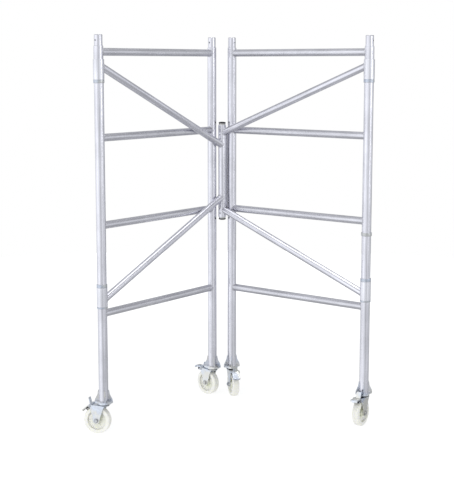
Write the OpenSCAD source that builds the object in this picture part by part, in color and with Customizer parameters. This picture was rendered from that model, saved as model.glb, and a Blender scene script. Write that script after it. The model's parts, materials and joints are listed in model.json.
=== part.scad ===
// Folding base unit of a rolling aluminium scaffold: two ladder frames joined by a
// hinged K-brace, on four total-lock casters. Millimetres, +Z up, origin on the floor
// at the middle of the footprint. The unit stands half folded, as a V seen from -Y.

/* [Ladder frames] */
// Distance between the upright centres of one frame
frame_w = 900; // [600:5:1400]
// Outside diameter of the uprights
upright_d = 50; // [40:0.5:62]
// Wall of the uprights
upright_wall = 3; // [2:0.1:4]
// Outside diameter of the rungs
rung_d = 40; // [28:0.5:48]
// Wall of the rungs
rung_wall = 2.5; // [1.5:0.1:4]
// Height of the lowest rung above the floor
bottom_rung_z = 646; // [500:1:900]
// Spacing of the rungs, from the lowest pair up
rung_pitch = [463, 452, 435]; // [350:1:600]
// Upright left above the centre of the top rung
top_margin = 30; // [26:1:200]

/* [Stacking spigots] */
// Outside diameter of the spigots
spigot_d = 43; // [30:0.1:43.4]
// Chamfer round the top of the spigots
spigot_chamfer = 3; // [1:0.5:5]
// Wall of the spigots
spigot_wall = 2.5; // [1.5:0.1:4]
// How far a spigot stands out of its upright
spigot_rise = 57; // [40:1:150]
// How far a spigot is fixed inside its upright
spigot_grip = 80; // [40:1:150]
// Diameter of the locking-pin hole
lock_hole_d = 8; // [5:0.5:14]
// Locking-pin hole below the spigot's top
lock_hole_drop = 29; // [15:1:40]

/* [Folding brace] */
// Outside diameter of the four diagonals
diagonal_d = 38; // [25:0.5:45]
// Wall of the diagonals
diagonal_wall = 2.5; // [1.5:0.1:4]
// Height of each swivel sleeve
sleeve_h = 102; // [80:1:160]
// Wall of the swivel sleeves
sleeve_wall = 3.1; // [2:0.1:6]
// Centre of the nearest rung to the near end of its sleeve
sleeve_rung_gap = 37; // [34:1:80]
// Near end of a sleeve to where its diagonal's centre line meets the upright
diagonal_inset = 28; // [26:1:50]
// Height between the two diagonals of the left half, at the hinge
inner_spread = 294; // [150:2:340]
// Height between the two diagonals of the right half, at the hinge
outer_spread = 434; // [400:2:520]
// Hinge middle above the middle of the diagonals' outer ends
hinge_raise = 5; // [0:1:30]
// Hinge axis beyond the inner uprights, when the brace lies straight
hinge_standoff = 33; // [32:1:60]
// Angle between each brace half and the middle plane, as it stands
brace_half_angle = 48.6; // [30:0.1:75]

/* [Brace hinge] */
// Outside diameter of the middle knuckle
middle_knuckle_d = 44; // [40:0.5:46]
// Outside diameter of the two end knuckles
end_knuckle_d = 45; // [41:0.5:46]
// Height of the middle knuckle
middle_knuckle_h = 374; // [350:1:390]
// Height of each end knuckle
end_knuckle_h = 76; // [60:1:90]
// Wall of the knuckles
knuckle_wall = 3; // [2:0.1:4]
// Wall of the hinge pin tube
hinge_pin_wall = 3; // [2:0.1:5]
// How far the hinge pin stands out of the end knuckles
hinge_pin_rise = 9; // [3:1:20]
// Thickness of the caps on the hinge pin
cap_t = 6; // [3:1:12]
// Outside diameter of the strut that ties the end knuckles
strut_d = 22; // [16:0.5:24]
// Wall of the strut
strut_wall = 2; // [1:0.1:4]
// How far the strut laps each end knuckle
strut_lap = 40; // [20:1:60]

/* [Retaining rings] */
// Height of each retaining ring
ring_h = 16; // [8:1:20]
// Wall of each retaining ring
ring_wall = 3.4; // [2:0.1:6]
// Height of the thin ring under each lower sleeve
seat_ring_h = 7; // [5:0.5:7]
// Height of the spare ring on the right outer upright
spare_ring_z = 1032; // [950:1:1400]

/* [Feet] */
// Foot plate along the frame
foot_l = 62; // [56:1:64]
// Foot plate across the frame
foot_w = 84; // [74:1:90]
// Thickness of the foot plate
foot_t = 6; // [4:0.5:10]
// Corner radius of the foot and caster plates
foot_r = 8; // [4:1:12]
// Height of the foot gussets
gusset_h = 58; // [30:1:90]
// Thickness of the foot gussets
gusset_t = 5; // [3:0.5:6]
// Foot bolts from the middle, along the frame
foot_bolt_x = 11; // [10:0.5:12]
// Foot bolts from the middle, across the frame
foot_bolt_y = 35; // [33:0.5:36]
// Diameter of the foot bolts
foot_bolt_d = 6; // [5:0.5:7]

/* [Casters] */
// Diameter of the wheels
wheel_d = 145; // [125:1:160]
// Width of the wheels over the tread
wheel_w = 38; // [28:1:38]
// Width of the wheel hub
hub_w = 42; // [40:1:42]
// Distance of the wheel axle behind the swivel axis
trail = 35; // [25:1:40]
// Crown of the fork above the wheel
crown_gap = 6; // [4:1:15]
// Thickness of the fork
fork_t = 4; // [3:0.5:5]
// Space between the fork legs
fork_gap = 46; // [45:0.5:50]
// Height of the swivel bearing
race_h = 11; // [9:0.5:20]
// Outside diameter of the swivel bearing
race_d = 61; // [56:0.5:61]
// Thickness of the caster plate
caster_plate_t = 5; // [4:0.5:8]
// Diameter of the wheel axle
axle_d = 12; // [8:0.5:14]
// Diameter of the kingpin
kingpin_d = 12; // [10:0.5:16]
// Direction of each caster's trail from +X: left outer, left inner, right inner, right outer
trail_angles = [157, 130, 278, 231]; // [0:1:360]

/* [Brakes] */
// Pedal pivot behind the swivel axis
pedal_x = 70; // [68:1:76]
// Pedal pivot above the top of the wheel
pedal_rise = 5; // [4:1:8]
// Length of the pedal tread from its pivot
pedal_l = 54; // [40:1:60]
// Width of the pedal tread
pedal_w = 42; // [30:1:44]
// Length of the release tab from the pedal pivot
tab_l = 42; // [25:1:42]
// Width of the release tab
tab_w = 26; // [15:1:40]
// Thickness of the pedal sheet
pedal_t = 4; // [2.5:0.5:5]
// Diameter of the pedal pin
pedal_pin_d = 8; // [6:0.5:9]
// Pedal swing from free to locked, in degrees
pedal_swing = 38; // [30:1:42]
// Brake of each caster pressed (1) or free (0), in the order of the trail angles
brakes_on = [1, 0, 1, 0]; // [0:1:1]

/* [Clearances] */
// Gap at every welded or slipped-in joint between round faces
weld_gap = 0.2; // [0.1:0.05:0.5]
// Radial clearance of the sleeves on the uprights
sleeve_clear = 0.4; // [0.3:0.05:1]
// Radial clearance of the middle knuckle on the hinge pin
hinge_clear = 0.35; // [0.3:0.05:0.6]
// End gap between knuckles, and between sleeves and rings
end_gap = 0.8; // [0.4:0.1:2]
// Radial clearance of a turning part on its pin
pin_clear = 0.08; // [0.02:0.01:0.1]
// Play of the swivel bearing, up and down
race_clear = 0.5; // [0.3:0.1:1]
// Gap between the folded brace and the rungs and uprights
fold_clear = 1.2; // [0.5:0.1:20]
// Least gap between the hinge's strut and the folded inner upright
strut_clear = 1.1; // [0.5:0.1:20]
// Gap between a locked brake block and its wheel
brake_clear = 0.5; // [0.3:0.1:2]

/* [Hidden] */
$fn = 64;
FRAMES = ["left", "right"];
CASTERS = ["left_outer", "left_inner", "right_inner", "right_outer"];
RUNGS = [1, 2, 3, 4];
node = "all";

NODES = concat(
    [for (f = FRAMES) for (p = [
        "outer_upright", "inner_upright", "rung_1", "rung_2", "rung_3", "rung_4", "spigots",
        "rings", "outer_foot", "inner_foot", "foot_bolts", "outer_caster_plate",
        "inner_caster_plate", "upper_sleeve", "lower_sleeve", "upper_diagonal",
        "lower_diagonal"]) str(f, "_", p)],
    ["hinge_middle_knuckle", "hinge_top_knuckle", "hinge_bottom_knuckle", "hinge_strut",
     "hinge_pin", "hinge_caps"],
    [for (c = CASTERS) for (p = ["fork", "axle", "wheel", "pedal", "brake_block"])
        str(c, "_", p)]);

// radii
upright_r = upright_d / 2;
upright_bore_r = upright_r - upright_wall;
sleeve_bore_r = upright_r + sleeve_clear;
sleeve_r = sleeve_bore_r + sleeve_wall;
middle_r = middle_knuckle_d / 2;
end_r = end_knuckle_d / 2;
hinge_pin_r = middle_r - knuckle_wall - hinge_clear;
wheel_r = wheel_d / 2;

// heights, from the floor up
crown_z = wheel_d + crown_gap;
race_z = crown_z + fork_t;
caster_plate_z = race_z + race_h;
foot_z = caster_plate_z + caster_plate_t;
upright_z = foot_z + foot_t;
rung_z = [
    bottom_rung_z + rung_pitch[0] + rung_pitch[1] + rung_pitch[2],
    bottom_rung_z + rung_pitch[0] + rung_pitch[1],
    bottom_rung_z + rung_pitch[0],
    bottom_rung_z];
upright_top_z = rung_z[0] + top_margin;
spigot_top_z = upright_top_z + spigot_rise;
lock_hole_z = spigot_top_z - lock_hole_drop;
spigot_seam = 130; // turn of the tube's seam, well clear of the lock hole

upper_sleeve_z = rung_z[0] - sleeve_rung_gap - sleeve_h;
lower_sleeve_z = rung_z[3] + sleeve_rung_gap;
upper_diagonal_z = upper_sleeve_z + sleeve_h - diagonal_inset;
lower_diagonal_z = lower_sleeve_z + diagonal_inset;
hinge_z = (upper_diagonal_z + lower_diagonal_z) / 2 + hinge_raise;
middle_knuckle_z = hinge_z - middle_knuckle_h / 2;
top_knuckle_z = hinge_z + middle_knuckle_h / 2 + end_gap;
bottom_knuckle_z = middle_knuckle_z - end_gap - end_knuckle_h;
hinge_pin_h = middle_knuckle_h + 2 * (end_gap + end_knuckle_h + hinge_pin_rise);

// plan layout: the hinge axis, the outer uprights and the frames' lean to the brace
brace_reach = frame_w + hinge_standoff;
rung_cross = (upper_diagonal_z - rung_z[1]) / (upper_diagonal_z - hinge_z - inner_spread / 2)
    * brace_reach / frame_w;
tube_gap = max(
    (upright_d + diagonal_d) / 2 + fold_clear,
    ((rung_d + diagonal_d) / 2 + fold_clear) / rung_cross);
strut_off = end_r + weld_gap + strut_d / 2;
strut_reach = upright_r + strut_d / 2 + strut_clear;
strut_along = brace_reach - sqrt(pow(frame_w, 2) - pow(tube_gap, 2));
strut_gap = strut_off + sqrt(max(0, pow(strut_reach, 2) - pow(strut_along, 2)));
fold_gap = max(tube_gap, strut_gap);
fold_angle = asin(fold_gap / frame_w);
brace_angle = 90 - brace_half_angle;
frame_angle = brace_angle + fold_angle;
outer_x = brace_reach * cos(brace_angle);
outer_back = brace_reach * sin(brace_angle);
inner_x = outer_x - frame_w * cos(frame_angle);
inner_back = outer_back - frame_w * sin(frame_angle);
pedal_reach = pedal_x + pedal_l;
middle_x = (foot_w / 2 - pedal_reach) / 2;
hinge_y = (outer_back + inner_back) / 2;

// caster data
pedal_z = wheel_d + pedal_rise;
pedal_hub_r = pedal_pin_d / 2 + 4;
axle_end = fork_gap / 2 + fork_t;
caster_at = [
    [-outer_x, hinge_y - outer_back], [-inner_x, hinge_y - inner_back],
    [inner_x, hinge_y - inner_back], [outer_x, hinge_y - outer_back]];

// ---------- shared shapes ----------

module tube(r, wall, h) {
    difference() {
        cylinder(r = r, h = h);
        translate([0, 0, -1]) cylinder(r = r - wall, h = h + 2);
    }
}

// A ring whose bore is bore_r
module collar(bore_r, wall, h) {
    difference() {
        cylinder(r = bore_r + wall, h = h);
        translate([0, 0, -1]) cylinder(r = bore_r, h = h + 2);
    }
}

module hex_prism(across_flats, h) {
    cylinder(r = across_flats / sqrt(3), h = h, $fn = 6);
}

// Rectangle with round corners, centred, standing on z = 0
module round_plate(l, w, t, r) {
    linear_extrude(height = t) {
        square([l - 2 * r, w], center = true);
        square([l, w - 2 * r], center = true);
        for (x = [-1, 1]) for (y = [-1, 1])
            translate([x * (l / 2 - r), y * (w / 2 - r)]) circle(r = r);
    }
}

// Places: each has its first upright or hinge on its own Z axis and its +X along the piece
module at_plan() translate([-middle_x, 0, 0]) children();

module at_frame(side) {
    turn = side == "left" ? frame_angle : 180 - frame_angle;
    at_plan() translate([side == "left" ? -outer_x : outer_x, hinge_y - outer_back, 0])
        rotate([0, 0, turn]) children();
}

module at_brace(side) {
    turn = side == "left" ? brace_angle : 180 - brace_angle;
    at_plan() translate([side == "left" ? -outer_x : outer_x, hinge_y - outer_back, 0])
        rotate([0, 0, turn]) children();
}

module at_hinge() at_plan() translate([0, hinge_y, 0]) children();

module at_caster(i) {
    at_plan() translate([caster_at[i][0], caster_at[i][1], 0])
        rotate([0, 0, trail_angles[i]]) children();
}

module at_pedal(i) {
    at_caster(i) translate([pedal_x, 0, pedal_z])
        rotate([0, brakes_on[i] * pedal_swing, 0]) children();
}

// ---------- ladder frames ----------

module upright() {
    color("silver") translate([0, 0, upright_z])
        tube(upright_r, upright_wall, upright_top_z - upright_z);
}

// Rung coped to both uprights
module rung(n) {
    color("lightgray") difference() {
        translate([0, 0, rung_z[n - 1]]) rotate([0, 90, 0])
            tube(rung_d / 2, rung_wall, frame_w);
        for (x = [0, frame_w]) translate([x, 0, rung_z[n - 1] - rung_d])
            cylinder(r = upright_r + weld_gap, h = 2 * rung_d);
    }
}

// Swaged tube: the lower part fits the upright's bore, the upper part takes the next frame
module spigot() {
    r = spigot_d / 2;
    grip_r = upright_bore_r - weld_gap;
    bore_r = r - spigot_wall;
    color("gainsboro") difference() {
        rotate([0, 0, spigot_seam]) rotate_extrude() polygon([
            [bore_r, upright_top_z - spigot_grip], [grip_r, upright_top_z - spigot_grip],
            [grip_r, upright_top_z], [r, upright_top_z], [r, spigot_top_z - spigot_chamfer],
            [r - spigot_chamfer / 2, spigot_top_z], [bore_r, spigot_top_z]]);
        translate([-spigot_d, 0, lock_hole_z]) rotate([0, 90, 0])
            cylinder(r = lock_hole_d / 2, h = 2 * spigot_d);
    }
}

module spigots() for (x = [0, frame_w]) translate([x, 0, 0]) spigot();

module ring(z, h) {
    color("darkgray") translate([0, 0, z])
        collar(upright_r + weld_gap / 2, ring_wall - weld_gap / 2, h);
}

module rings(side) {
    ring(upper_sleeve_z - end_gap - ring_h, ring_h);
    ring(lower_sleeve_z + sleeve_h + end_gap, ring_h);
    ring(lower_sleeve_z - end_gap - seat_ring_h, seat_ring_h);
    if (side == "right") ring(spare_ring_z, ring_h);
}

// Plate with four gussets on its diagonals, welded under an upright
module foot() {
    corner = [foot_l / 2 - foot_r, foot_w / 2 - foot_r];
    edge_inset = 2;
    gusset_reach = norm(corner) + foot_r - edge_inset;
    gusset_turn = atan2(corner[1], corner[0]);
    toe_h = 8;
    tip_w = 4;
    knee = 0.6;
    seat_ledge = 4;
    color("darkgray") {
        difference() {
            translate([0, 0, foot_z]) round_plate(foot_l, foot_w, foot_t, foot_r);
            translate([0, 0, foot_z - 1])
                cylinder(r = upright_bore_r - seat_ledge, h = foot_t + 2);
            foot_bolt_places() translate([0, 0, foot_z - 1])
                cylinder(r = foot_bolt_d / 2 + weld_gap, h = foot_t + 2);
        }
        for (a = [gusset_turn, 180 - gusset_turn, 180 + gusset_turn, -gusset_turn])
            rotate([0, 0, a]) translate([0, gusset_t / 2, upright_z]) rotate([90, 0, 0])
                linear_extrude(height = gusset_t) polygon([
                    [upright_r + weld_gap, 0], [gusset_reach, 0], [gusset_reach, toe_h],
                    [upright_r + tip_w * 2, gusset_h * knee],
                    [upright_r + tip_w, gusset_h], [upright_r + weld_gap, gusset_h]]);
    }
}

module foot_bolt_places() {
    for (x = [-1, 1]) for (y = [-1, 1])
        translate([x * foot_bolt_x, y * foot_bolt_y, 0]) children();
}

// Hex bolt up through the caster plate and the foot, with its nut on top
module foot_bolt() {
    head_h = foot_bolt_d * 0.65;
    nut_h = foot_bolt_d * 0.8;
    flats = foot_bolt_d * 5 / 3;
    stack = caster_plate_t + foot_t;
    thread_out = 3;
    color("gray") translate([0, 0, caster_plate_z]) {
        translate([0, 0, -head_h]) hex_prism(flats, head_h);
        cylinder(r = foot_bolt_d / 2, h = stack + nut_h + thread_out);
    }
    color("gray") translate([0, 0, upright_z]) difference() {
        hex_prism(flats, nut_h);
        translate([0, 0, -1]) cylinder(r = foot_bolt_d / 2 + weld_gap / 2, h = nut_h + 2);
    }
}

module foot_bolts() {
    for (x = [0, frame_w]) translate([x, 0, 0]) foot_bolt_places() foot_bolt();
}

// Plate of the caster, with the upper race of the swivel hanging from it
module caster_plate() {
    race_skirt = 4;
    color("lightsteelblue") difference() {
        union() {
            translate([0, 0, caster_plate_z])
                round_plate(foot_l, foot_w, caster_plate_t, foot_r);
            translate([0, 0, race_z + fork_t]) cylinder(r = race_d / 2, h = race_h - fork_t);
        }
        translate([0, 0, race_z - 1])
            cylinder(r = race_d / 2 - race_skirt, h = race_h + 1);
        translate([0, 0, race_z]) cylinder(r = kingpin_d / 2 + pin_clear, h = 3 * race_h);
        foot_bolt_places() translate([0, 0, caster_plate_z - 1])
            cylinder(r = foot_bolt_d / 2 + weld_gap, h = caster_plate_t + 2);
    }
}

// ---------- folding brace ----------

module sleeve(z) {
    color("whitesmoke") translate([0, 0, z])
        collar(sleeve_bore_r, sleeve_wall, sleeve_h);
}

// Tube from the outer upright's axis at z_out to the hinge axis at z_in, coped to both
module diagonal(z_out, z_in, knuckle_r) {
    rise = z_in - z_out;
    run = norm([brace_reach, rise]);
    color("silver") difference() {
        translate([0, 0, z_out]) rotate([0, 90 - atan2(rise, brace_reach), 0])
            tube(diagonal_d / 2, diagonal_wall, run);
        translate([0, 0, z_out - 2 * diagonal_d])
            cylinder(r = sleeve_r + weld_gap, h = 4 * diagonal_d);
        translate([brace_reach, 0, z_in - 2 * diagonal_d])
            cylinder(r = knuckle_r + weld_gap, h = 4 * diagonal_d);
    }
}

module brace_diagonals(side, which) {
    spread = side == "left" ? inner_spread : outer_spread;
    knuckle_r = side == "left" ? middle_r : end_r;
    if (which == "upper") diagonal(upper_diagonal_z, hinge_z + spread / 2, knuckle_r);
    else diagonal(lower_diagonal_z, hinge_z - spread / 2, knuckle_r);
}

module middle_knuckle() {
    color("silver") translate([0, 0, middle_knuckle_z])
        tube(middle_r, knuckle_wall, middle_knuckle_h);
}

// End knuckles are fixed on the pin, so their bore follows it
module end_knuckle(z) {
    bore_r = hinge_pin_r + weld_gap / 2;
    color("gainsboro") translate([0, 0, z]) collar(bore_r, end_r - bore_r, end_knuckle_h);
}

// Strut on the far side of the end knuckles, square to the right half of the brace
module strut() {
    color("lightgray") rotate([0, 0, 90 - brace_angle])
        translate([strut_off, 0, top_knuckle_z + strut_lap - strut_h()])
            tube(strut_d / 2, strut_wall, strut_h());
}

function strut_h() = middle_knuckle_h + 2 * (end_gap + strut_lap);

module hinge_pin() {
    color("gray") translate([0, 0, bottom_knuckle_z - hinge_pin_rise])
        tube(hinge_pin_r, hinge_pin_wall, hinge_pin_h);
}

// Plugs pushed into both ends of the hinge pin
module caps() {
    plug_h = 18;
    for (up = [0, 1]) color("black") translate([0, 0, hinge_z]) mirror([0, 0, 1 - up])
        translate([0, 0, hinge_pin_h / 2]) {
            cylinder(r = hinge_pin_r + 1, h = cap_t);
            translate([0, 0, -plug_h])
                cylinder(r = hinge_pin_r - hinge_pin_wall - weld_gap, h = plug_h + 1);
        }
}

// ---------- casters: +X is the trail, the swivel axis is Z ----------

module fork_leg_outline() {
    axle_boss_r = axle_d / 2 + 12;
    ear_r = pedal_pin_d / 2 + 5;
    top = race_z;
    nose = 14;
    nose_drop = 22;
    shoulder = 20;
    difference() {
        union() {
            polygon([
                [-nose, top], [pedal_x, top], [pedal_x + ear_r, pedal_z],
                [pedal_x, pedal_z - ear_r], [trail + axle_boss_r, wheel_r + shoulder],
                [trail + axle_boss_r, wheel_r], [trail - axle_boss_r, wheel_r],
                [nose / 2 - ear_r, crown_z - nose_drop]]);
            translate([trail, wheel_r]) circle(r = axle_boss_r);
            translate([pedal_x, pedal_z]) circle(r = ear_r);
        }
        translate([trail, wheel_r]) circle(r = axle_d / 2 + weld_gap / 2);
        translate([pedal_x, pedal_z]) circle(r = pedal_pin_d / 2 + weld_gap / 2);
    }
}

// Pressed fork with the lower race, the kingpin and the pedal pin
module fork() {
    crown_end_gap = 6;
    crown_l = pedal_x - pedal_hub_r - crown_end_gap;
    crown_lap = 1;
    lower_race_r = race_d / 2 - 6;
    head_h = 4;
    rivet_h = 2;
    color("lightsteelblue") {
        for (y = [-axle_end, fork_gap / 2]) translate([0, y + fork_t, 0])
            rotate([90, 0, 0]) linear_extrude(height = fork_t) fork_leg_outline();
        difference() {
            union() {
                translate([0, -fork_gap / 2 - crown_lap, crown_z])
                    cube([crown_l, fork_gap + 2 * crown_lap, fork_t]);
                translate([0, 0, crown_z]) cylinder(r = race_d / 2, h = fork_t);
                translate([0, 0, crown_z])
                    cylinder(r = lower_race_r, h = fork_t + race_h - race_clear);
            }
            translate([0, 0, crown_z - 1])
                cylinder(r = kingpin_d / 2 + weld_gap / 2, h = race_h + fork_t);
        }
    }
    color("gray") {
        translate([0, 0, crown_z - head_h]) cylinder(r = kingpin_d, h = head_h);
        translate([0, 0, crown_z - 1])
            cylinder(r = kingpin_d / 2, h = foot_z + race_clear + head_h - crown_z);
        translate([0, 0, foot_z + race_clear]) cylinder(r = kingpin_d - 2, h = head_h);
    }
    color("gray") translate([pedal_x, 0, pedal_z]) rotate([90, 0, 0])
        for (s = [0, 1]) mirror([0, 0, s]) {
            cylinder(r = pedal_pin_d / 2, h = axle_end);
            translate([0, 0, axle_end]) cylinder(r = pedal_pin_d * 3 / 4, h = rivet_h);
        }
}

// Axle bolt with its nut, and a spacer on each side of the hub
module axle() {
    flats = axle_d * 1.6;
    head_h = axle_d * 0.6;
    nut_h = axle_d * 0.8;
    side_play = 0.4;
    spacer_wall = 4;
    spacer_h = (fork_gap - hub_w) / 2 - side_play;
    color("gray") translate([trail, 0, wheel_r]) rotate([90, 0, 0]) {
        translate([0, 0, -axle_end - head_h]) hex_prism(flats, head_h);
        translate([0, 0, -axle_end]) cylinder(r = axle_d / 2, h = 2 * axle_end + axle_d);
    }
    color("gray") translate([trail, -axle_end, wheel_r]) rotate([90, 0, 0])
        difference() {
            hex_prism(flats, nut_h);
            translate([0, 0, -1]) cylinder(r = axle_d / 2 + weld_gap / 2, h = nut_h + 2);
        }
    for (s = [-1, 1]) color("dimgray")
        translate([trail, s * (fork_gap - spacer_h) / 2, wheel_r])
            rotate([90, 0, 0]) translate([0, 0, -spacer_h / 2])
                collar(axle_d / 2 + weld_gap / 2, spacer_wall, spacer_h);
}

// Solid nylon wheel: rounded tread, thinner web and a long hub
module wheel() {
    tread_r = 7;
    rim_t = 20;
    web_t = 14;
    hub_r = 19;
    color("ivory") translate([trail, 0, wheel_r]) rotate([90, 0, 0]) rotate_extrude()
        difference() {
            union() {
                translate([0, -hub_w / 2]) square([hub_r, hub_w]);
                translate([hub_r - 1, -web_t / 2])
                    square([wheel_r - rim_t - hub_r + 2, web_t]);
                translate([wheel_r - rim_t, -wheel_w / 2])
                    square([rim_t - tread_r, wheel_w]);
                translate([wheel_r - rim_t, tread_r - wheel_w / 2])
                    square([rim_t, wheel_w - 2 * tread_r]);
                for (s = [-1, 1]) translate([wheel_r - tread_r, s * (wheel_w / 2 - tread_r)])
                    circle(r = tread_r);
            }
            translate([0, -hub_w]) square([axle_d / 2 + pin_clear, 2 * hub_w]);
        }
}

// Rocker pedal: a tread to press down and a tab to release, on a tubular hub
module pedal() {
    lip = 10;
    tab_tilt = 112;
    color("lightgray") difference() {
        union() {
            rotate([90, 0, 0]) translate([0, 0, -pedal_w / 2])
                cylinder(r = pedal_hub_r, h = pedal_w);
            translate([0, -pedal_w / 2, pedal_hub_r - pedal_t])
                cube([pedal_l, pedal_w, pedal_t]);
            translate([pedal_l - pedal_t, -pedal_w / 2, pedal_hub_r - lip])
                cube([pedal_t, pedal_w, lip]);
            rotate([0, -tab_tilt, 0]) translate([0, -tab_w / 2, -pedal_t / 2])
                cube([tab_l, tab_w, pedal_t]);
        }
        rotate([90, 0, 0]) cylinder(r = pedal_pin_d / 2 + pin_clear, h = pedal_w * 2, center = true);
    }
}

// Rubber block under the pedal tread, hollowed to the wheel that it presses on
module brake_block() {
    top = pedal_hub_r - pedal_t;
    block_x = 10;
    block_l = 20;
    block_h = 17;
    color("black") difference() {
        translate([block_x, -wheel_w / 2, top - block_h]) cube([block_l, wheel_w, block_h]);
        rotate([0, -pedal_swing, 0]) translate([trail - pedal_x, 0, wheel_r - pedal_z])
            rotate([90, 0, 0]) cylinder(r = wheel_r + brake_clear, h = 3 * wheel_w, center = true);
    }
}

// ---------- the nodes ----------

function wants(name) = node == "all" || node == name;

for (f = FRAMES) {
    if (wants(str(f, "_outer_upright"))) at_frame(f) upright();
    if (wants(str(f, "_inner_upright"))) at_frame(f) translate([frame_w, 0, 0]) upright();
    for (n = RUNGS) if (wants(str(f, "_rung_", n))) at_frame(f) rung(n);
    if (wants(str(f, "_spigots"))) at_frame(f) spigots();
    if (wants(str(f, "_rings"))) at_frame(f) rings(f);
    if (wants(str(f, "_outer_foot"))) at_frame(f) foot();
    if (wants(str(f, "_inner_foot"))) at_frame(f) translate([frame_w, 0, 0]) foot();
    if (wants(str(f, "_foot_bolts"))) at_frame(f) foot_bolts();
    if (wants(str(f, "_outer_caster_plate"))) at_frame(f) caster_plate();
    if (wants(str(f, "_inner_caster_plate"))) at_frame(f) translate([frame_w, 0, 0]) caster_plate();
    if (wants(str(f, "_upper_sleeve"))) at_brace(f) sleeve(upper_sleeve_z);
    if (wants(str(f, "_lower_sleeve"))) at_brace(f) sleeve(lower_sleeve_z);
    if (wants(str(f, "_upper_diagonal"))) at_brace(f) brace_diagonals(f, "upper");
    if (wants(str(f, "_lower_diagonal"))) at_brace(f) brace_diagonals(f, "lower");
}
if (wants("hinge_middle_knuckle")) at_hinge() middle_knuckle();
if (wants("hinge_top_knuckle")) at_hinge() end_knuckle(top_knuckle_z);
if (wants("hinge_bottom_knuckle")) at_hinge() end_knuckle(bottom_knuckle_z);
if (wants("hinge_strut")) at_hinge() strut();
if (wants("hinge_pin")) at_hinge() hinge_pin();
if (wants("hinge_caps")) at_hinge() caps();
for (i = [0 : 3]) {
    if (wants(str(CASTERS[i], "_fork"))) at_caster(i) fork();
    if (wants(str(CASTERS[i], "_axle"))) at_caster(i) axle();
    if (wants(str(CASTERS[i], "_wheel"))) at_caster(i) wheel();
    if (wants(str(CASTERS[i], "_pedal"))) at_pedal(i) pedal();
    if (wants(str(CASTERS[i], "_brake_block"))) at_pedal(i) brake_block();
}
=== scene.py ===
# Looks of the folding scaffold base unit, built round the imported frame. Lengths are in metres.
import json
import math

import bmesh
import bpy
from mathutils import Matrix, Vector


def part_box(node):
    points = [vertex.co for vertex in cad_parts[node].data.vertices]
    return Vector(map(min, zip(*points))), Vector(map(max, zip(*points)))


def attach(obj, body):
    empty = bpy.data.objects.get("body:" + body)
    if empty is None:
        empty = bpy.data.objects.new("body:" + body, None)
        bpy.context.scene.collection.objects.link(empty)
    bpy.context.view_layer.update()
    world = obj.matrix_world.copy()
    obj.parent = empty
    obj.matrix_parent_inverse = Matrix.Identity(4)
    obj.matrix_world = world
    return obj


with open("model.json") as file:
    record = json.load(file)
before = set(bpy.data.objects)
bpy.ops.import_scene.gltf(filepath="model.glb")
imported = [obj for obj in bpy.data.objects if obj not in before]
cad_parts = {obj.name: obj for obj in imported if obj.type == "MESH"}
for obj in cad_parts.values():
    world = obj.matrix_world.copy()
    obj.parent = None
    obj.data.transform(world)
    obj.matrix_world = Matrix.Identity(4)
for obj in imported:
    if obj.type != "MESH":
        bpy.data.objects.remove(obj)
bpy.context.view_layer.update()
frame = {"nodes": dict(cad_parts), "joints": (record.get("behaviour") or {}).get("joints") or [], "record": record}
NODES = frame["nodes"]
JOINTS = {j["name"]: j for j in frame["joints"]}
SLOT = {s["node"]: s["material_slot"] for s in frame["record"]["subparts"]}
UP = Vector((0, 0, 1))
SIDES = ("left", "right")
ENDS = ("outer", "inner")
RUNGS = (1, 2, 3, 4)
CASTERS = ("left_outer", "left_inner", "right_inner", "right_outer")


# ---------- places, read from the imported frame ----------


def middle(node):
    """The middle of a node's box."""
    lo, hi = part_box(node)
    return (lo + hi) / 2


def radius_of(node):
    """The radius of a node that is round about the vertical."""
    lo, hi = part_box(node)
    return (hi.x - lo.x) / 2


def on_floor(point):
    """The point of the floor below a point."""
    return Vector((point[0], point[1], 0))


CASTER_AT = {c: Vector(JOINTS[c + "_swivel"]["pos_m"]) for c in CASTERS}
AXLE = {c: Vector(JOINTS[c + "_wheel_spin"]["pos_m"]) for c in CASTERS}
LATERAL = {c: Vector(JOINTS[c + "_wheel_spin"]["axis"]) for c in CASTERS}
TRAIL = {c: (on_floor(AXLE[c]) - on_floor(CASTER_AT[c])).normalized() for c in CASTERS}
PEDAL_PIN = {c: Vector(JOINTS[c + "_brake"]["pos_m"]) for c in CASTERS}
POST = {c: on_floor(middle(c + "_upright")) for c in CASTERS}
HINGE_AT = on_floor(JOINTS["brace_hinge"]["pos_m"])
FRAME_DIR = {s: (POST[s + "_inner"] - POST[s + "_outer"]).normalized() for s in SIDES}
BRACE_DIR = {s: (HINGE_AT - POST[s + "_outer"]).normalized() for s in SIDES}
UPRIGHT_R = radius_of("left_outer_upright")
SLEEVE_R = radius_of("left_upper_sleeve")
KNUCKLE_R = {"left": radius_of("hinge_middle_knuckle"), "right": radius_of("hinge_top_knuckle")}
RUNG_LO, RUNG_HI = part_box("left_rung_1")
RUNG_R = (RUNG_HI.z - RUNG_LO.z) / 2


def diagonal_axis(side, which):
    """(point on the outer upright's axis, direction) of a diagonal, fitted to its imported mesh."""
    along = BRACE_DIR[side]
    post = POST[side + "_outer"]
    mesh = NODES[f"{side}_{which}_diagonal"].data
    rows = [((v.co - post).dot(along), v.co.z) for v in mesh.vertices]
    near, far = min(rows)[0], max(rows)[0]
    end_length = (far - near) * 0.2
    centres = []
    for start, stop in ((near, near + end_length), (far - end_length, far)):
        # each end's cut curve is even about the axis, so its highest and lowest points lie about it
        rim = [r for r in rows if start <= r[0] <= stop]
        top = max(rim, key=lambda r: r[1])
        low = min(rim, key=lambda r: r[1])
        centres.append(((top[0] + low[0]) / 2, (top[1] + low[1]) / 2))
    (s0, z0), (s1, z1) = centres
    slope = (z1 - z0) / (s1 - s0)
    return post + UP * (z0 - slope * s0), (along + UP * slope).normalized()


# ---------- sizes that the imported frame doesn't state, as they are in the design ----------

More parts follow.
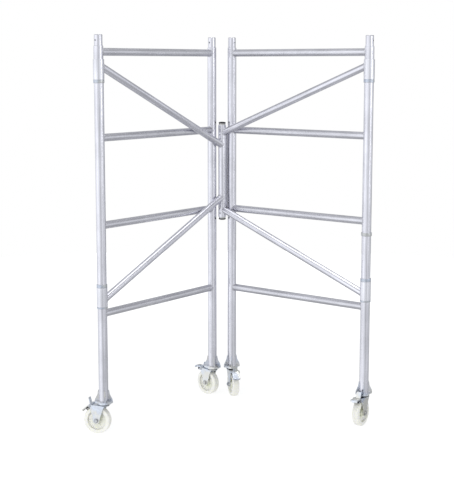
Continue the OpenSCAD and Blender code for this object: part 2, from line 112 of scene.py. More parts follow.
DIAGONAL_R = 0.019
FOOT_T = 0.006  # foot plate
GUSSET_T = 0.005
GUSSET_TURN = math.atan2(34, 23)  # from the frame's direction, towards the plate's corners
RING_H = 0.016  # retaining rings
SEAT_RING_H = 0.007
END_GAP = 0.0008  # between a ring and a sleeve's end
SPARE_RING_Z = 1.032  # underside of the right upright's spare ring
SPIGOT_R = 0.0215
LOCK_R = 0.004  # lock pin hole
LOCK_DROP = 0.029  # from the spigot's top to the hole
FORK_OUT = 0.027  # from the caster's middle plane to the fork's outer face
AXLE_R = 0.006
NUT_H = 0.0096
HEAD_H = 0.0072
HUB_OUT = 0.021  # from the wheel's middle plane to the hub's end
WEB_OUT = 0.007  # and to the web's face
PEDAL_HUB_R = 0.008
PEDAL_HALF = 0.021  # half of the pedal's width
PEDAL_L = 0.054


# ---------- material helpers ----------


class Nodes:
    """Short forms for making, filling and joining the nodes of one tree."""

    def __init__(self, tree):
        self.tree = tree

    def put(self, socket, value):
        if isinstance(value, bpy.types.NodeSocket):
            self.tree.links.new(value, socket)
        else:
            socket.default_value = value

    def fill(self, made, **values):
        """Fills a node's sockets by name, where an underscore stands for a space."""
        for name, value in values.items():
            self.put(made.inputs[name.replace("_", " ")], value)
        return made

    def node(self, kind, *values, **settings):
        """A new node with its first sockets filled by values."""
        made = self.tree.nodes.new("ShaderNode" + kind)
        for name, value in settings.items():
            setattr(made, name, value)
        for i, value in enumerate(values):
            self.put(made.inputs[i], value)
        return made

    def math(self, operation, a, b=0.0):
        return self.node("Math", a, b, operation=operation).outputs[0]

    def add(self, a, b):
        return self.math("ADD", a, b)

    def times(self, a, b):
        return self.math("MULTIPLY", a, b)

    def ranged(self, value, a, b, c=0.0, d=1.0, smooth=False):
        """The value's range from a to b, stretched to run from c to d."""
        kind = "SMOOTHSTEP" if smooth else "LINEAR"
        return self.node("MapRange", value, a, b, c, d, interpolation_type=kind).outputs[0]

    def from_z_axis(self, vector):
        """The distance of a point from the Z axis."""
        x, y, _ = self.node("SeparateXYZ", vector).outputs
        return self.math("SQRT", self.add(self.times(x, x), self.times(y, y)))


class Material(Nodes):
    """One material: a principled shader and the patterns that feed it."""

    def __init__(self, name):
        self.mat = bpy.data.materials.new(name)
        self.mat.use_nodes = True
        super().__init__(self.mat.node_tree)
        self.tree.nodes.clear()
        self.shader = self.node("BsdfPrincipled")
        self.node("OutputMaterial", self.shader.outputs[0])

    def set(self, **values):
        self.fill(self.shader, **values)

    def object_coords(self):
        return self.node("TexCoord").outputs["Object"]

    def scaled(self, vector, x, y, z):
        return self.fill(self.node("Mapping"), Vector=vector, Scale=(x, y, z)).outputs[0]

    def turned(self, vector, axis):
        """The vector in a frame whose Z runs along axis."""
        turn = axis.rotation_difference(UP).to_euler()
        return self.fill(self.node("Mapping"), Vector=vector, Rotation=turn).outputs[0]

    def noise(self, vector, scale, detail, rough, distortion=0.0):
        made = self.fill(self.node("TexNoise"), Vector=vector, Scale=scale, Detail=detail)
        return self.fill(made, Roughness=rough, Distortion=distortion).outputs[0]

    def cells(self, vector, scale):
        return self.fill(self.node("TexVoronoi"), Vector=vector, Scale=scale)

    def waves(self, value, scale):
        """Even waves that run with a value."""
        vector = self.node("CombineXYZ", value).outputs[0]
        made = self.node("TexWave", wave_type="BANDS", bands_direction="X", wave_profile="SIN")
        return self.fill(made, Vector=vector, Scale=scale).outputs[1]

    def mix(self, share, a, b):
        """Colour a where share is 0 and b where it is 1."""
        made = self.node("Mix", share, data_type="RGBA")
        for socket, value in ((made.inputs[6], a), (made.inputs[7], b)):
            self.put(socket, (*value, 1) if isinstance(value, tuple) else value)
        return made.outputs[2]

    def bump(self, height, strength, distance, edge=None):
        """Normals from a height; with edge, the shape's sharp edges also shade as rounded by it."""
        made = self.fill(self.node("Bump"), Strength=strength, Distance=distance, Height=height)
        if edge is not None:
            rounded = self.fill(self.node("Bevel", samples=6), Radius=edge)
            self.put(made.inputs["Normal"], rounded.outputs[0])
        return made.outputs[0]


def shade(tint, share):
    """A tint made lighter or darker."""
    return tuple(min(1.0, v * share) for v in tint)


# ---------- materials ----------


def drawn_metal(name, axis, tint, rough):
    """Drawn tube: fine die lines along axis, a few scuffs round it and cloudy handling marks."""
    g = Material(name)
    along = g.turned(g.object_coords(), axis)
    fine = g.noise(g.scaled(along, 1, 1, 0.004), 900, 3, 0.6)
    lines = g.noise(g.scaled(along, 1, 1, 0.02), 190, 2, 0.55)
    cloud = g.noise(along, 7, 4, 0.6)
    patch = g.noise(g.scaled(along, 1, 1, 0.35), 26, 3, 0.65)
    scuffs = g.ranged(g.noise(g.scaled(along, 0.25, 0.25, 5), 60, 2, 0.6, 0.3), 0.66, 0.74)
    base = g.mix(g.ranged(cloud, 0.35, 0.7, smooth=True), shade(tint, 1.04), shade(tint, 0.9))
    base = g.mix(g.times(g.ranged(lines, 0.42, 0.66), 0.6), base, shade(tint, 0.72))
    base = g.mix(g.times(scuffs, 0.2), base, shade(tint, 0.66))
    dull = g.ranged(fine, 0.3, 0.7, rough - 0.05, rough + 0.07)
    dull = g.add(dull, g.ranged(patch, 0.3, 0.75, -0.03, 0.08))
    dull = g.add(dull, g.times(scuffs, 0.12))
    height = g.add(g.times(fine, 0.5), g.times(lines, 0.9))
    height = g.math("SUBTRACT", height, g.times(scuffs, 0.3))
    g.set(Base_Color=base, Roughness=dull, Metallic=1.0)
    g.set(Normal=g.bump(height, 0.16, 0.0004, 0.0008))
    return g.mat


def zinc(name, tint, rough):
    """Blue-bright zinc plate: mottled, faintly iridescent, with small pits and worn edges."""
    g = Material(name)
    p = g.object_coords()
    mottle = g.noise(p, 45, 4, 0.6, 0.4)
    spangle = g.node("SeparateColor", g.cells(p, 160).outputs["Color"]).outputs[0]
    pits = g.noise(p, 700, 2, 0.5)
    smear = g.noise(p, 12, 3, 0.6)
    red, green, blue = tint
    cool = (red * 0.92, green * 0.98, min(1, blue * 1.06))
    warm = (red * 1.02, green, blue * 0.9)
    base = g.mix(g.ranged(smear, 0.38, 0.62, smooth=True), cool, warm)
    base = g.mix(g.times(g.ranged(mottle, 0.4, 0.75), 0.45), base, shade(tint, 0.72))
    dull = g.ranged(mottle, 0.3, 0.7, rough - 0.07, rough + 0.1)
    dull = g.add(dull, g.times(spangle, 0.06))
    height = g.add(g.times(pits, 0.4), g.times(mottle, 0.8))
    g.set(Base_Color=base, Roughness=dull, Metallic=1.0)
    g.set(Normal=g.bump(height, 0.2, 0.0006, 0.0011))
    return g.mat


def nylon(name, centre, axis):
    """Cast nylon wheel: waxy, a little translucent, with a scuffed and dusty tread."""
    g = Material(name)
    p = g.object_coords()
    from_hub = g.node("VectorMath", p, tuple(centre), operation="SUBTRACT").outputs[0]
    r = g.from_z_axis(g.turned(from_hub, axis))
    tread = g.ranged(r, 0.066, 0.0715, smooth=True)
    grain = g.noise(p, 130, 4, 0.65)
    speck = g.noise(p, 420, 2, 0.5)
    cloud = g.noise(p, 22, 3, 0.6)
    # painted shade: the web darkens and yellows in towards the hub, for the shade in the recess round it; the
    # cloud laid over it is the nylon's own uneven tone
    shaded_clean_nylon = g.mix(g.ranged(r, 0.018, 0.05), (0.68, 0.705, 0.55), (0.8, 0.8, 0.745))
    shaded_clean_nylon = g.mix(g.ranged(cloud, 0.35, 0.7), shaded_clean_nylon, (0.835, 0.83, 0.785))
    dust = g.times(tread, g.ranged(grain, 0.42, 0.68))
    base = g.mix(g.times(dust, 0.5), shaded_clean_nylon, (0.63, 0.62, 0.57))
    dull = g.add(g.ranged(grain, 0.3, 0.7, 0.34, 0.46), g.times(tread, 0.16))
    height = g.add(g.times(g.waves(r, 90), 0.12), g.times(g.times(speck, tread), 0.9))
    height = g.add(height, g.times(grain, 0.3))
    g.set(Base_Color=base, Roughness=dull, Specular_IOR_Level=0.45)
    g.set(Subsurface_Weight=0.18, Subsurface_Radius=(0.006, 0.006, 0.004), Subsurface_Scale=1.0)
    g.set(Normal=g.bump(height, 0.22, 0.0006, 0.0012))
    return g.mat


def rubber(name, tint):
    """Black rubber: fine grained, and greyer where it is worn."""
    g = Material(name)
    p = g.object_coords()
    grain = g.noise(p, 900, 3, 0.6)
    worn = g.noise(p, 60, 3, 0.6)
    base = g.mix(g.ranged(worn, 0.45, 0.75), tint, shade(tint, 3.2))
    g.set(Base_Color=base, Roughness=g.ranged(grain, 0.3, 0.7, 0.5, 0.72))
    g.set(Normal=g.bump(grain, 0.35, 0.0004, 0.002))
    return g.mat


def moulded(name, tint):
    """Moulded plastic: a fine spark-eroded grain, with smeared gloss."""
    g = Material(name)
    p = g.object_coords()
    grain = g.cells(p, 1500).outputs["Distance"]
    smear = g.noise(p, 80, 3, 0.6)
    base = g.mix(g.ranged(smear, 0.4, 0.7), tint, shade(tint, 2.2))
    g.set(Base_Color=base, Roughness=g.ranged(smear, 0.3, 0.7, 0.36, 0.52))
    g.set(Normal=g.bump(grain, 0.18, 0.0003, 0.001))
    return g.mat


def weld_metal(name):
    """Aluminium weld bead: bright, and sooty in places."""
    g = Material(name)
    soot = g.noise(g.object_coords(), 240, 3, 0.6)
    base = g.mix(g.ranged(soot, 0.4, 0.72), (0.8, 0.8, 0.83), (0.5, 0.5, 0.53))
    g.set(Base_Color=base, Metallic=1.0, Roughness=g.ranged(soot, 0.3, 0.7, 0.3, 0.46))
    g.set(Normal=g.bump(soot, 0.3, 0.0004))
    return g.mat


# (tint, roughness) of each slot of drawn tube, and of each plated or cast one
TUBES = {
    "upright_alloy": ((0.785, 0.785, 0.845), 0.2),
    "rung_alloy": ((0.745, 0.745, 0.795), 0.24),
    "brace_alloy": ((0.79, 0.79, 0.85), 0.21),
    "sleeve_alloy": ((0.85, 0.855, 0.91), 0.25),
}
PLATED = {
    "ring_steel": ((0.6, 0.62, 0.67), 0.3),
    "foot_alloy": ((0.72, 0.725, 0.765), 0.34),
    "fork_zinc": ((0.8, 0.81, 0.845), 0.27),
    "pedal_zinc": ((0.78, 0.79, 0.83), 0.24),
    "fastener_zinc": ((0.6, 0.61, 0.65), 0.26),
}
MATS = {}


def tube_axis(node):
    """The direction in which a node's tube was drawn."""
    words = node.split("_")
    if "rung" in words:
        return FRAME_DIR[words[0]]
    if "diagonal" in words:
        return diagonal_axis(words[0], words[1])[1]
    return UP


def tube_material(node):
    """The drawn metal of a node, one for each slot and direction."""
    slot = SLOT[node]
    axis = tube_axis(node)
    key = (slot, tuple(round(v, 2) for v in axis))
    if key not in MATS:
        MATS[key] = drawn_metal(f"{slot}_{len(MATS)}", axis, *TUBES[slot])
    return MATS[key]


def slot_material(slot):
    """The material of a slot that looks the same in every direction."""
    if slot not in MATS:
        if slot == "black_rubber":
            MATS[slot] = rubber(slot, (0.012, 0.012, 0.013))
        elif slot == "black_plastic":
            MATS[slot] = moulded(slot, (0.014, 0.014, 0.016))
        else:
            MATS[slot] = zinc(slot, *PLATED[slot])
    return MATS[slot]


def dress_cad():
    """Gives each CAD node its material; its mesh stays as it was packed."""
    for name, obj in NODES.items():
        slot = SLOT[name]
        if slot in TUBES:
            mat = tube_material(name)
        elif slot == "wheel_nylon":
            caster = name.removesuffix("_wheel")
            mat = nylon("nylon_" + caster, AXLE[caster], LATERAL[caster])
        else:
            mat = slot_material(slot)
        obj.data.materials.clear()
        obj.data.materials.append(mat)


# ---------- mesh helpers ----------


def add_piece(name, bm, mat, body):
    """Makes the mesh a smooth piece that rides on a body."""
    mesh = bpy.data.meshes.new(name)
    bmesh.ops.recalc_face_normals(bm, faces=bm.faces)
    bm.to_mesh(mesh)
    bm.free()
    for face in mesh.polygons:
        face.use_smooth = True
    mesh.materials.append(mat)
    obj = bpy.data.objects.new(name, mesh)
    bpy.context.scene.collection.objects.link(obj)
    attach(obj, body)


def straight(a, b, count):
    """Even points from a to b."""
    return [a.lerp(b, i / (count - 1)) for i in range(count)]


def circle(centre, axis, radius, count):
    """Even points round an axis."""
    u = axis.orthogonal().normalized()
    v = axis.cross(u)
    turns = [2 * math.pi * k / count for k in range(count)]
    return [centre + (u * math.cos(t) + v * math.sin(t)) * radius for t in turns]


def seam_turn(first, last):
    """How many corners the first ring is turned from the last, where a closed sweep joins them."""
    n = len(first)

    def miss(turn):
        return sum((first[(k + turn) % n].co - last[k].co).length for k in range(n))

    return min(range(n), key=miss)


def sweep(bm, points, radii, sides=8, closed=True):
    """A round bar along points, one radius a point: a closed loop, or capped at its ends."""
    n = len(points)
    rings = []
    ref = None
    for i, point in enumerate(points):
        before = points[(i - 1) % n] if closed or i > 0 else point
        after = points[(i + 1) % n] if closed or i < n - 1 else point
        ahead = (after - before).normalized()
        if ref is None:
            ref = ahead.orthogonal().normalized()
        ref = (ref - ahead * ref.dot(ahead)).normalized()
        other = ahead.cross(ref)
        ring = []
        for k in range(sides):
            t = 2 * math.pi * k / sides
            ring.append(bm.verts.new(point + (ref * math.cos(t) + other * math.sin(t)) * radii[i]))
        rings.append(ring)
    for a, b in zip(rings, rings[1:]):
        for k in range(sides):
            j = (k + 1) % sides
            bm.faces.new((a[k], a[j], b[j], b[k]))
    if closed:
        first, last = rings[0], rings[-1]
        turn = seam_turn(first, last)
        for k in range(sides):
            j = (k + 1) % sides
            bm.faces.new((last[k], last[j], first[(j + turn) % sides], first[(k + turn) % sides]))
    else:
        bm.faces.new(rings[0])
        bm.faces.new(rings[-1])


def wire(bm, points, radius, sides=8, closed=True):
    """A sweep of one radius."""
    sweep(bm, points, [radius] * len(points), sides, closed)


def bead(bm, curve, radius, pitch=0.0034, closed=True):
    """A rippled weld bead along a curve."""
    length = sum((curve[i] - curve[i - 1]).length for i in range(0 if closed else 1, len(curve)))
    ripples = max(3, round(length / pitch))
    radii = []
    run = 0.0
    for i, point in enumerate(curve):
        phase = (run / length * ripples) % 1.0
        radii.append(radius * (0.88 + 0.2 * (1 - phase) ** 1.5))
        run += (curve[(i + 1) % len(curve)] - point).length
    sweep(bm, curve, radii, closed=closed)


def cope_curve(post, post_r, start, ahead, tube_r, side_dir):
    """The closed curve where a tube meets a post, on the post's side towards side_dir.

    The tube runs through start in the direction ahead. Each line along its surface meets the post
    where a quadratic in the distance t along it is 0."""
    count = 144
    u = ahead.cross(UP).normalized()
    v = u.cross(ahead).normalized()
    curve = []
    for k in range(count):
        turn = 2 * math.pi * k / count
        line = start + u * (math.cos(turn) * tube_r) + v * (math.sin(turn) * tube_r)
        off = on_floor(line) - on_floor(post)
        plan = on_floor(ahead)
        a = plan.dot(plan)
        b = 2 * off.dot(plan)
        c = off.dot(off) - post_r * post_r
        root = math.sqrt(max(0.0, b * b - 4 * a * c))
        hits = [line + ahead * ((-b + sign * root) / (2 * a)) for sign in (-1, 1)]
        curve.append(max(hits, key=lambda hit: (hit - post).dot(side_dir)))
    return curve


def turned_shape(bm, centre, axis, profile, segments=36):
    """A turned solid of (radius, height) points, a closed outline unless it starts or ends on the axis."""
    rings = []
    for r, h in profile:
        if r == 0:
            rings.append([bm.verts.new(centre + axis * h)])
        else:
            rings.append([bm.verts.new(p) for p in circle(centre + axis * h, axis, r, segments)])
    on_axis = profile[0][0] == 0 or profile[-1][0] == 0
    for a, b in zip(rings, rings[1:] if on_axis else rings[1:] + rings[:1]):
        for k in range(segments):
            j = (k + 1) % segments
            corners = (a[k % len(a)], a[j % len(a)], b[j % len(b)], b[k % len(b)])
            corners = tuple(dict.fromkeys(corners))
            if len(corners) > 2:
                bm.faces.new(corners)


# ---------- welds ----------

JOINT_BEAD = 0.0027  # radius of the beads of rungs and diagonals


def rung_welds(side):
    """A bead round both ends of each rung."""
    ahead = FRAME_DIR[side]
    bm = bmesh.new()
    for n in RUNGS:
        height = middle(f"{side}_rung_{n}").z
        for end, inward in (("outer", ahead), ("inner", -ahead)):
            post = POST[f"{side}_{end}"]
            bead(bm, cope_curve(post, UPRIGHT_R, post + UP * height, ahead, RUNG_R, inward), JOINT_BEAD)
    add_piece(side + "_rung_welds", bm, WELD, side + "_frame")


def brace_welds(side):
    """A bead round both ends of each diagonal, at its sleeve and at its knuckle."""
    toward = BRACE_DIR[side]
    post = POST[side + "_outer"]
    bm = bmesh.new()
    for which in ("upper", "lower"):
        start, ahead = diagonal_axis(side, which)
        bead(bm, cope_curve(post, SLEEVE_R, start, ahead, DIAGONAL_R, toward), JOINT_BEAD)
        bead(bm, cope_curve(HINGE_AT, KNUCKLE_R[side], start, ahead, DIAGONAL_R, -toward), JOINT_BEAD)
    add_piece(side + "_brace_welds", bm, WELD, side + "_brace")


def foot_welds(side):
    """Beads round each upright's foot, and along both sides of each gusset."""
    foot_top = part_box("left_outer_caster_plate")[1].z + FOOT_T
    bead_up = 0.056
    bead_out = 0.045
    ahead = FRAME_DIR[side]
    across = UP.cross(ahead)
    bm = bmesh.new()
    for end in ENDS:
        base = POST[f"{side}_{end}"] + UP * foot_top
        bead(bm, circle(base, UP, UPRIGHT_R + 0.0006, 72), 0.0022)
        for turn in (GUSSET_TURN, math.pi - GUSSET_TURN, math.pi + GUSSET_TURN, -GUSSET_TURN):
            out = ahead * math.cos(turn) + across * math.sin(turn)
            aside = UP.cross(out)
            for sign in (-1, 1):
                flank = base + aside * sign * (GUSSET_T / 2 + 0.0004)
                root = flank + out * (UPRIGHT_R + 0.0002)
                bead(bm, straight(root + UP * 0.002, root + UP * bead_up, 34), 0.0019, 0.0032, False)
                bead(bm, straight(root, flank + out * bead_out, 14), 0.0018, 0.0032, False)
    add_piece(side + "_foot_welds", bm, WELD, side + "_frame")


def ring_welds(side):
    """The bead that holds each retaining ring on the outer upright."""
    upper_lo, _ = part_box(side + "_upper_sleeve")
    lower_lo, lower_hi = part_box(side + "_lower_sleeve")
    heights = [
        upper_lo.z - END_GAP - RING_H,
        lower_hi.z + END_GAP + RING_H,
        lower_lo.z - END_GAP - SEAT_RING_H,
    ]
    if side == "right":
        heights.append(SPARE_RING_Z)
    bm = bmesh.new()
    for height in heights:
        at = POST[side + "_outer"] + UP * height
        bead(bm, circle(at, UP, UPRIGHT_R + 0.0008, 72), 0.0016)
    add_piece(side + "_ring_welds", bm, WELD, side + "_frame")


# ---------- spigots and hinge ----------


def spigot_rims(side):
    """A rolled burr round each end of the spigots' pin holes, and a swage line under each spigot."""
    ahead = FRAME_DIR[side]
    across = UP.cross(ahead)
    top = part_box(side + "_spigots")[1].z
    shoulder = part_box(side + "_outer_upright")[1].z
    bm = bmesh.new()
    for end in ENDS:
        post = POST[f"{side}_{end}"]
        hole = post + UP * (top - LOCK_DROP)
        for sign in (-1, 1):
            rim = []
            for p in circle(hole, ahead, LOCK_R + 0.0003, 32):
                off = (p - hole).dot(across)
                rim.append(p + ahead * sign * math.sqrt(SPIGOT_R**2 - off**2))
            wire(bm, rim, 0.0004, 6)
        wire(bm, circle(post + UP * (shoulder + 0.0004), UP, SPIGOT_R, 64), 0.0007, 6)
    add_piece(side + "_spigot_rims", bm, slot_material("ring_steel"), side + "_frame")


KNUCKLE_RIVET = ((0, 0), (0.0052, 0), (0.0052, 0.0009), (0.0036, 0.0024), (0, 0.003))


def knuckle_rivets():
    """The rivets that fix the two end knuckles to the hinge's pin."""
    across = UP.cross(BRACE_DIR["right"])
    from_end = 0.022
    bm = bmesh.new()
    for knuckle in ("top", "bottom"):
        lo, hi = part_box(f"hinge_{knuckle}_knuckle")
        for z in (lo.z + from_end, hi.z - from_end):
            seat = HINGE_AT + UP * z + across * (KNUCKLE_R["right"] - 0.0006)
            turned_shape(bm, seat, across, KNUCKLE_RIVET, 20)
    add_piece("knuckle_rivets", bm, slot_material("fastener_zinc"), "right_brace")


def strut_welds():
    """Two beads along the strut at each end knuckle."""
    strut_lo, strut_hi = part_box("hinge_strut")
    strut = on_floor(middle("hinge_strut"))
    strut_r = radius_of("hinge_strut")
    toward = (HINGE_AT - strut).normalized()
    aside = UP.cross(toward)
    inset = 0.001
    spans = (
        (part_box("hinge_top_knuckle")[0].z, strut_hi.z),
        (strut_lo.z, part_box("hinge_bottom_knuckle")[1].z),
    )
    bm = bmesh.new()
    for low, high in spans:
        for sign in (-1, 1):
            root = strut + toward * (strut_r * 0.86) + aside * sign * (strut_r * 0.5)
            ends = (root + UP * (low + inset), root + UP * (high - inset))
            bead(bm, straight(*ends, 28), 0.0022, closed=False)
    add_piece("strut_welds", bm, WELD, "right_brace")


def cap_domes():
    """The domed faces and fluted rims of the caps in the hinge's ends."""
    lo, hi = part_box("hinge_caps")
    cap_r = radius_of("hinge_caps")
    dome = (
        (0, 0),
        (cap_r - 0.0008, 0),
        (cap_r - 0.0012, 0.0015),
        (cap_r * 0.72, 0.0034),
        (cap_r * 0.3, 0.0042),
        (0, 0.0043),
    )
    bm = bmesh.new()
    for height, out in ((hi.z, UP), (lo.z, -UP)):
        centre = HINGE_AT + UP * height
        turned_shape(bm, centre - out * 0.001, out, dome, 48)
        for rib in circle(centre, UP, cap_r, 24):
            wire(bm, straight(rib - out * 0.0052, rib - out * 0.0008, 3), 0.0007, 6, False)
    add_piece("cap_domes", bm, slot_material("black_plastic"), "right_brace")


# ---------- casters ----------

# (radius, height) outlines of the turned hardware, from the face that it lies on
WASHER = ((0.0062, -0.0002), (0.0134, -0.0002), (0.0134, 0.0009), (0.0128, 0.0013), (0.0062, 0.0013))
PIN_WASHER = ((0.0042, 0), (0.0078, 0), (0.0078, 0.0007), (0.0072, 0.001), (0.0042, 0.001))
PIN_HEAD = ((0, 0), (0.0056, 0), (0.0046, 0.0011), (0.0022, 0.0017), (0, 0.0018))
BOLT_FACE = ((0, -0.0004), (0.0088, -0.0004), (0.008, 0.0006), (0.0072, 0.0004), (0, 0.0004))
SEAL_RING = (
    (0.0246, -0.0108),
    (0.0284, -0.0108),
    (0.029, -0.0094),
    (0.0282, -0.0076),
    (0.0246, -0.0076),
)
HUB_SHIELD = (
    (0.0104, -0.0004),
    (0.0166, -0.0004),
    (0.0166, 0.0002),
    (0.015, 0.00032),
    (0.0112, 0.00018),
    (0.0104, 0.0001),
)
BLOCK_RIVET = ((0, 0), (0.0046, 0), (0.0044, 0.0009), (0.0028, 0.0019), (0, 0.0023))


def washers(c):
    """Axle and pedal pin washers, pin heads, the axle's thread and the struck face of its head."""
    axle, lateral = AXLE[c], LATERAL[c]
    bm = bmesh.new()
    for out in (-lateral, lateral):
        turned_shape(bm, axle + out * FORK_OUT, out, WASHER)
        ear = PEDAL_PIN[c] + out * FORK_OUT
        turned_shape(bm, ear, out, PIN_WASHER, 24)
        turned_shape(bm, ear + out * 0.0018, out, PIN_HEAD, 24)
    for k in range(2):
        thread = axle - lateral * (FORK_OUT + NUT_H + 0.0006 + 0.001 * k)
        wire(bm, circle(thread, lateral, AXLE_R + 0.0001, 28), 0.00042, 6)
    turned_shape(bm, axle + lateral * (FORK_OUT + HEAD_H), lateral, BOLT_FACE, 30)
    add_piece(c + "_washers", bm, slot_material("fastener_zinc"), c + "_caster")


def swivel_seal(c):
    """The rubber ring between the swivel's races."""
    bm = bmesh.new()
    turned_shape(bm, CASTER_AT[c], UP, SEAL_RING, 48)
    add_piece(c + "_swivel_seal", bm, SEAL, c + "_caster")


def hub_shields(c):
    """A thin pressed shield on each end of the hub."""
    bm = bmesh.new()
    for out in (-LATERAL[c], LATERAL[c]):
        turned_shape(bm, AXLE[c] + out * HUB_OUT, out, HUB_SHIELD, 40)
    add_piece(c + "_hub_shields", bm, slot_material("fastener_zinc"), c + "_wheel")


def wheel_ribs(c):
    """The moulded rings and spokes on both faces of the wheel's web."""
    axle, lateral = AXLE[c], LATERAL[c]
    up = lateral.orthogonal().normalized()
    across = lateral.cross(up)
    spokes = 6
    spoke_radii = (0.0024, 0.0019, 0.0016, 0.0016, 0.0019, 0.0024)
    bm = bmesh.new()
    for sign in (-1, 1):
        web = axle + lateral * sign * WEB_OUT
        for ring_r, bar_r in ((0.0225, 0.0011), (0.049, 0.0009)):
            wire(bm, circle(web, lateral, ring_r, 72), bar_r)
        for k in range(spokes):
            turn = 2 * math.pi * k / spokes + 0.1 * math.pi
            ray = up * math.cos(turn) + across * math.sin(turn)
            line = straight(web + ray * 0.0195, web + ray * 0.0518, len(spoke_radii))
            sweep(bm, line, spoke_radii, closed=False)
    mat = NODES[c + "_wheel"].data.materials[0]
    add_piece(c + "_wheel_ribs", bm, mat, c + "_wheel")


def pedal_frame(c):
    """(direction out along the pedal, normal of its tread) at rest."""
    tilt = math.radians(-JOINTS[c + "_brake"]["range_deg"][0])
    out = TRAIL[c] * math.cos(tilt) - UP * math.sin(tilt)
    face = TRAIL[c] * math.sin(tilt) + UP * math.cos(tilt)
    return out, face


def tread_ribs(c):
    """The pedal's five grip ribs, its rolled sides and its lip."""
    out, face = pedal_frame(c)
    lateral = LATERAL[c]
    tread = PEDAL_PIN[c] + face * PEDAL_HUB_R
    edge_at = tread - face * 0.0002
    half = lateral * 0.0155
    side_r = 0.0012
    bm = bmesh.new()
    for k in range(5):
        mid = tread + out * (0.014 + 0.008 * k)
        line = [mid - half - face * 0.0006, mid - half * 0.94, mid]
        line += [mid + half * 0.94, mid + half - face * 0.0006]
        sweep(bm, line, (0.0008, 0.0013, 0.0013, 0.0013, 0.0008), closed=False)
    for sign in (-1, 1):
        edge = edge_at + lateral * sign * (PEDAL_HALF - side_r)
        wire(bm, straight(edge + out * 0.001, edge + out * 0.0525, 8), side_r, closed=False)
    lip = edge_at + out * (PEDAL_L - side_r)
    reach = lateral * (PEDAL_HALF - 0.001)
    wire(bm, straight(lip - reach, lip + reach, 8), side_r, closed=False)
    add_piece(c + "_tread_ribs", bm, slot_material("pedal_zinc"), c + "_pedal")


def block_rivets(c):
    """The two rivets that hold the brake block under the pedal."""
    out, face = pedal_frame(c)
    block = PEDAL_PIN[c] + out * 0.0205 + face * (PEDAL_HUB_R - 0.0145)
    bm = bmesh.new()
    for away in (-LATERAL[c], LATERAL[c]):
        turned_shape(bm, block + away * 0.0185, away, BLOCK_RIVET, 20)
    add_piece(c + "_block_rivets", bm, slot_material("fastener_zinc"), c + "_pedal")


# ---------- stage, light and camera ----------


def stage_object(name, bm):
    """An object of the stage, which the metal doesn't mirror."""
    mesh = bpy.data.meshes.new(name)
    bm.to_mesh(mesh)
    bm.free()
    obj = bpy.data.objects.new(name, mesh)
    bpy.context.scene.collection.objects.link(obj)
    obj.visible_glossy = False
    return obj


def stage():
    """A pale floor, and a white backdrop all round it that doesn't light the object."""
    bm = bmesh.new()
    bmesh.ops.create_circle(bm, cap_ends=True, segments=96, radius=5.5)
    floor = stage_object("floor", bm)
    g = Material("pale_floor")
    g.set(Base_Color=(0.3, 0.3, 0.3, 1), Roughness=0.95, Specular_IOR_Level=0.05)
    glow = g.ranged(g.from_z_axis(g.object_coords()), 1.2, 4.5, 0.78, 1.0, smooth=True)
    g.set(Emission_Color=(1, 1, 1, 1), Emission_Strength=glow)
    floor.data.materials.append(g.mat)
    bm = bmesh.new()
    bmesh.ops.create_uvsphere(bm, u_segments=48, v_segments=24, radius=40)
    backdrop = stage_object("backdrop", bm)
    g = Material("white_backdrop")
    g.set(Base_Color=(0, 0, 0, 1), Specular_IOR_Level=0.0, Roughness=1.0)
    g.set(Emission_Color=(1, 1, 1, 1), Emission_Strength=1.0)
    backdrop.data.materials.append(g.mat)
    backdrop.visible_diffuse = False
    backdrop.visible_shadow = False
    backdrop.visible_transmission = False


ROOM = 0.43  # strength of the light from everywhere
BAND = 0.25  # how much stronger it is at eye height
# brighter and dimmer regions: direction, cosines where each begins and is full, strength
LOBES = (
    ((-0.78, -0.62, 0.1), 0.55, 0.95, 0.34),
    ((0.53, -0.85, 0.08), 0.9, 0.985, 0.34),
    ((0.86, -0.5, 0.05), 0.92, 0.99, 0.1),
    ((-0.97, -0.12, 0.02), 0.6, 0.96, 0.3),
    ((-0.75, 0.66, 0.05), 0.75, 0.96, 0.22),
    ((1.0, 0.04, 0.03), 0.93, 0.995, 0.26),
    ((0.84, 0.54, 0.0), 0.86, 0.98, -0.24),
    ((0, 0, 1), 0.5, 0.95, 0.3),
    ((0, 0, -1), 0.4, 0.95, 0.12),
)


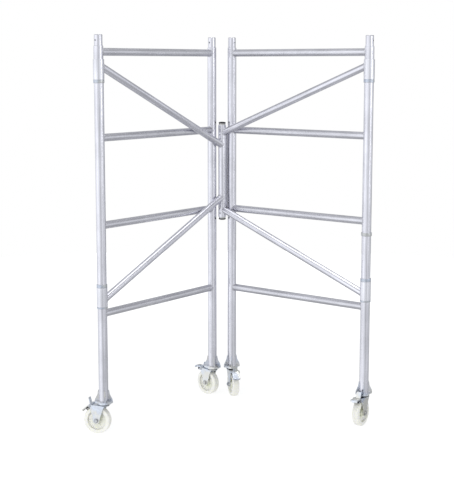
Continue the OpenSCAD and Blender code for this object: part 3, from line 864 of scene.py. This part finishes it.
def room():
    """A soft room: a bright band at eye height, and lobes that give the tubes their streaks."""
    world = bpy.data.worlds.new("soft")
    bpy.context.scene.world = world
    world.use_nodes = True
    g = Nodes(world.node_tree)
    way = g.node("TexCoord").outputs["Generated"]
    total = 0.0
    for direction, begins, full, strength in LOBES:
        along = Vector(direction).normalized()
        near = g.node("VectorMath", way, along, operation="DOT_PRODUCT").outputs["Value"]
        total = g.add(total, g.ranged(near, begins, full, 0.0, strength, smooth=True))
    height = g.math("ABSOLUTE", g.node("SeparateXYZ", way).outputs[2])
    band = g.ranged(height, 0.15, 0.75, ROOM + BAND, ROOM, smooth=True)
    g.fill(world.node_tree.nodes["Background"], Color=(0.96, 0.975, 1.0, 1), Strength=g.add(total, band))


def area(name, at, to, size, power, glossy=True):
    """A soft box at a place, turned to a point; with glossy False, the metal doesn't mirror it."""
    data = bpy.data.lights.new(name, "AREA")
    data.shape = "RECTANGLE"
    data.size, data.size_y = size
    data.energy = power
    obj = bpy.data.objects.new(name, data)
    bpy.context.scene.collection.objects.link(obj)
    obj.location = at
    obj.rotation_euler = (Vector(to) - Vector(at)).to_track_quat("-Z", "Y").to_euler()
    obj.visible_glossy = glossy


def camera():
    """The photograph's view: from the front, a little left, and nearly level with the top."""
    data = bpy.data.cameras.new("camera")
    data.sensor_width = 36
    data.lens = 84.8
    data.shift_y = -0.04
    data.clip_start = 0.05
    data.clip_end = 200
    cam = bpy.data.objects.new("camera", data)
    bpy.context.scene.collection.objects.link(cam)
    pitch = math.radians(7.905)
    heading = math.atan2(0.118, 0.993)
    cam.location = (-0.692, -6.099, 1.937)
    cam.rotation_euler = (math.pi / 2 - pitch, 0, -heading)
    bpy.context.scene.camera = cam
    bpy.context.scene.view_settings.view_transform = "Standard"


# ---------- making it all ----------

dress_cad()
WELD = weld_metal("weld_bead")
for frame_side in SIDES:
    rung_welds(frame_side)
    brace_welds(frame_side)
SEAL = rubber("swivel_seal", (0.02, 0.02, 0.022))
for frame_side in SIDES:
    foot_welds(frame_side)
    ring_welds(frame_side)
for frame_side in SIDES:
    spigot_rims(frame_side)
knuckle_rivets()
strut_welds()
cap_domes()
for caster in CASTERS:
    washers(caster)
    swivel_seal(caster)
    hub_shields(caster)
    wheel_ribs(caster)
    tread_ribs(caster)
    block_rivets(caster)
stage()
room()
area("key", (-4.2, -4.6, 3.6), (0, 0, 1.0), (1.6, 4.2), 100, glossy=False)
area("fill", (4.6, -3.6, 2.6), (0, 0, 1.0), (1.0, 3.6), 25)
area("top", (0.5, -0.5, 6.0), (0, 0, 0), (4.5, 2.5), 60)
camera()
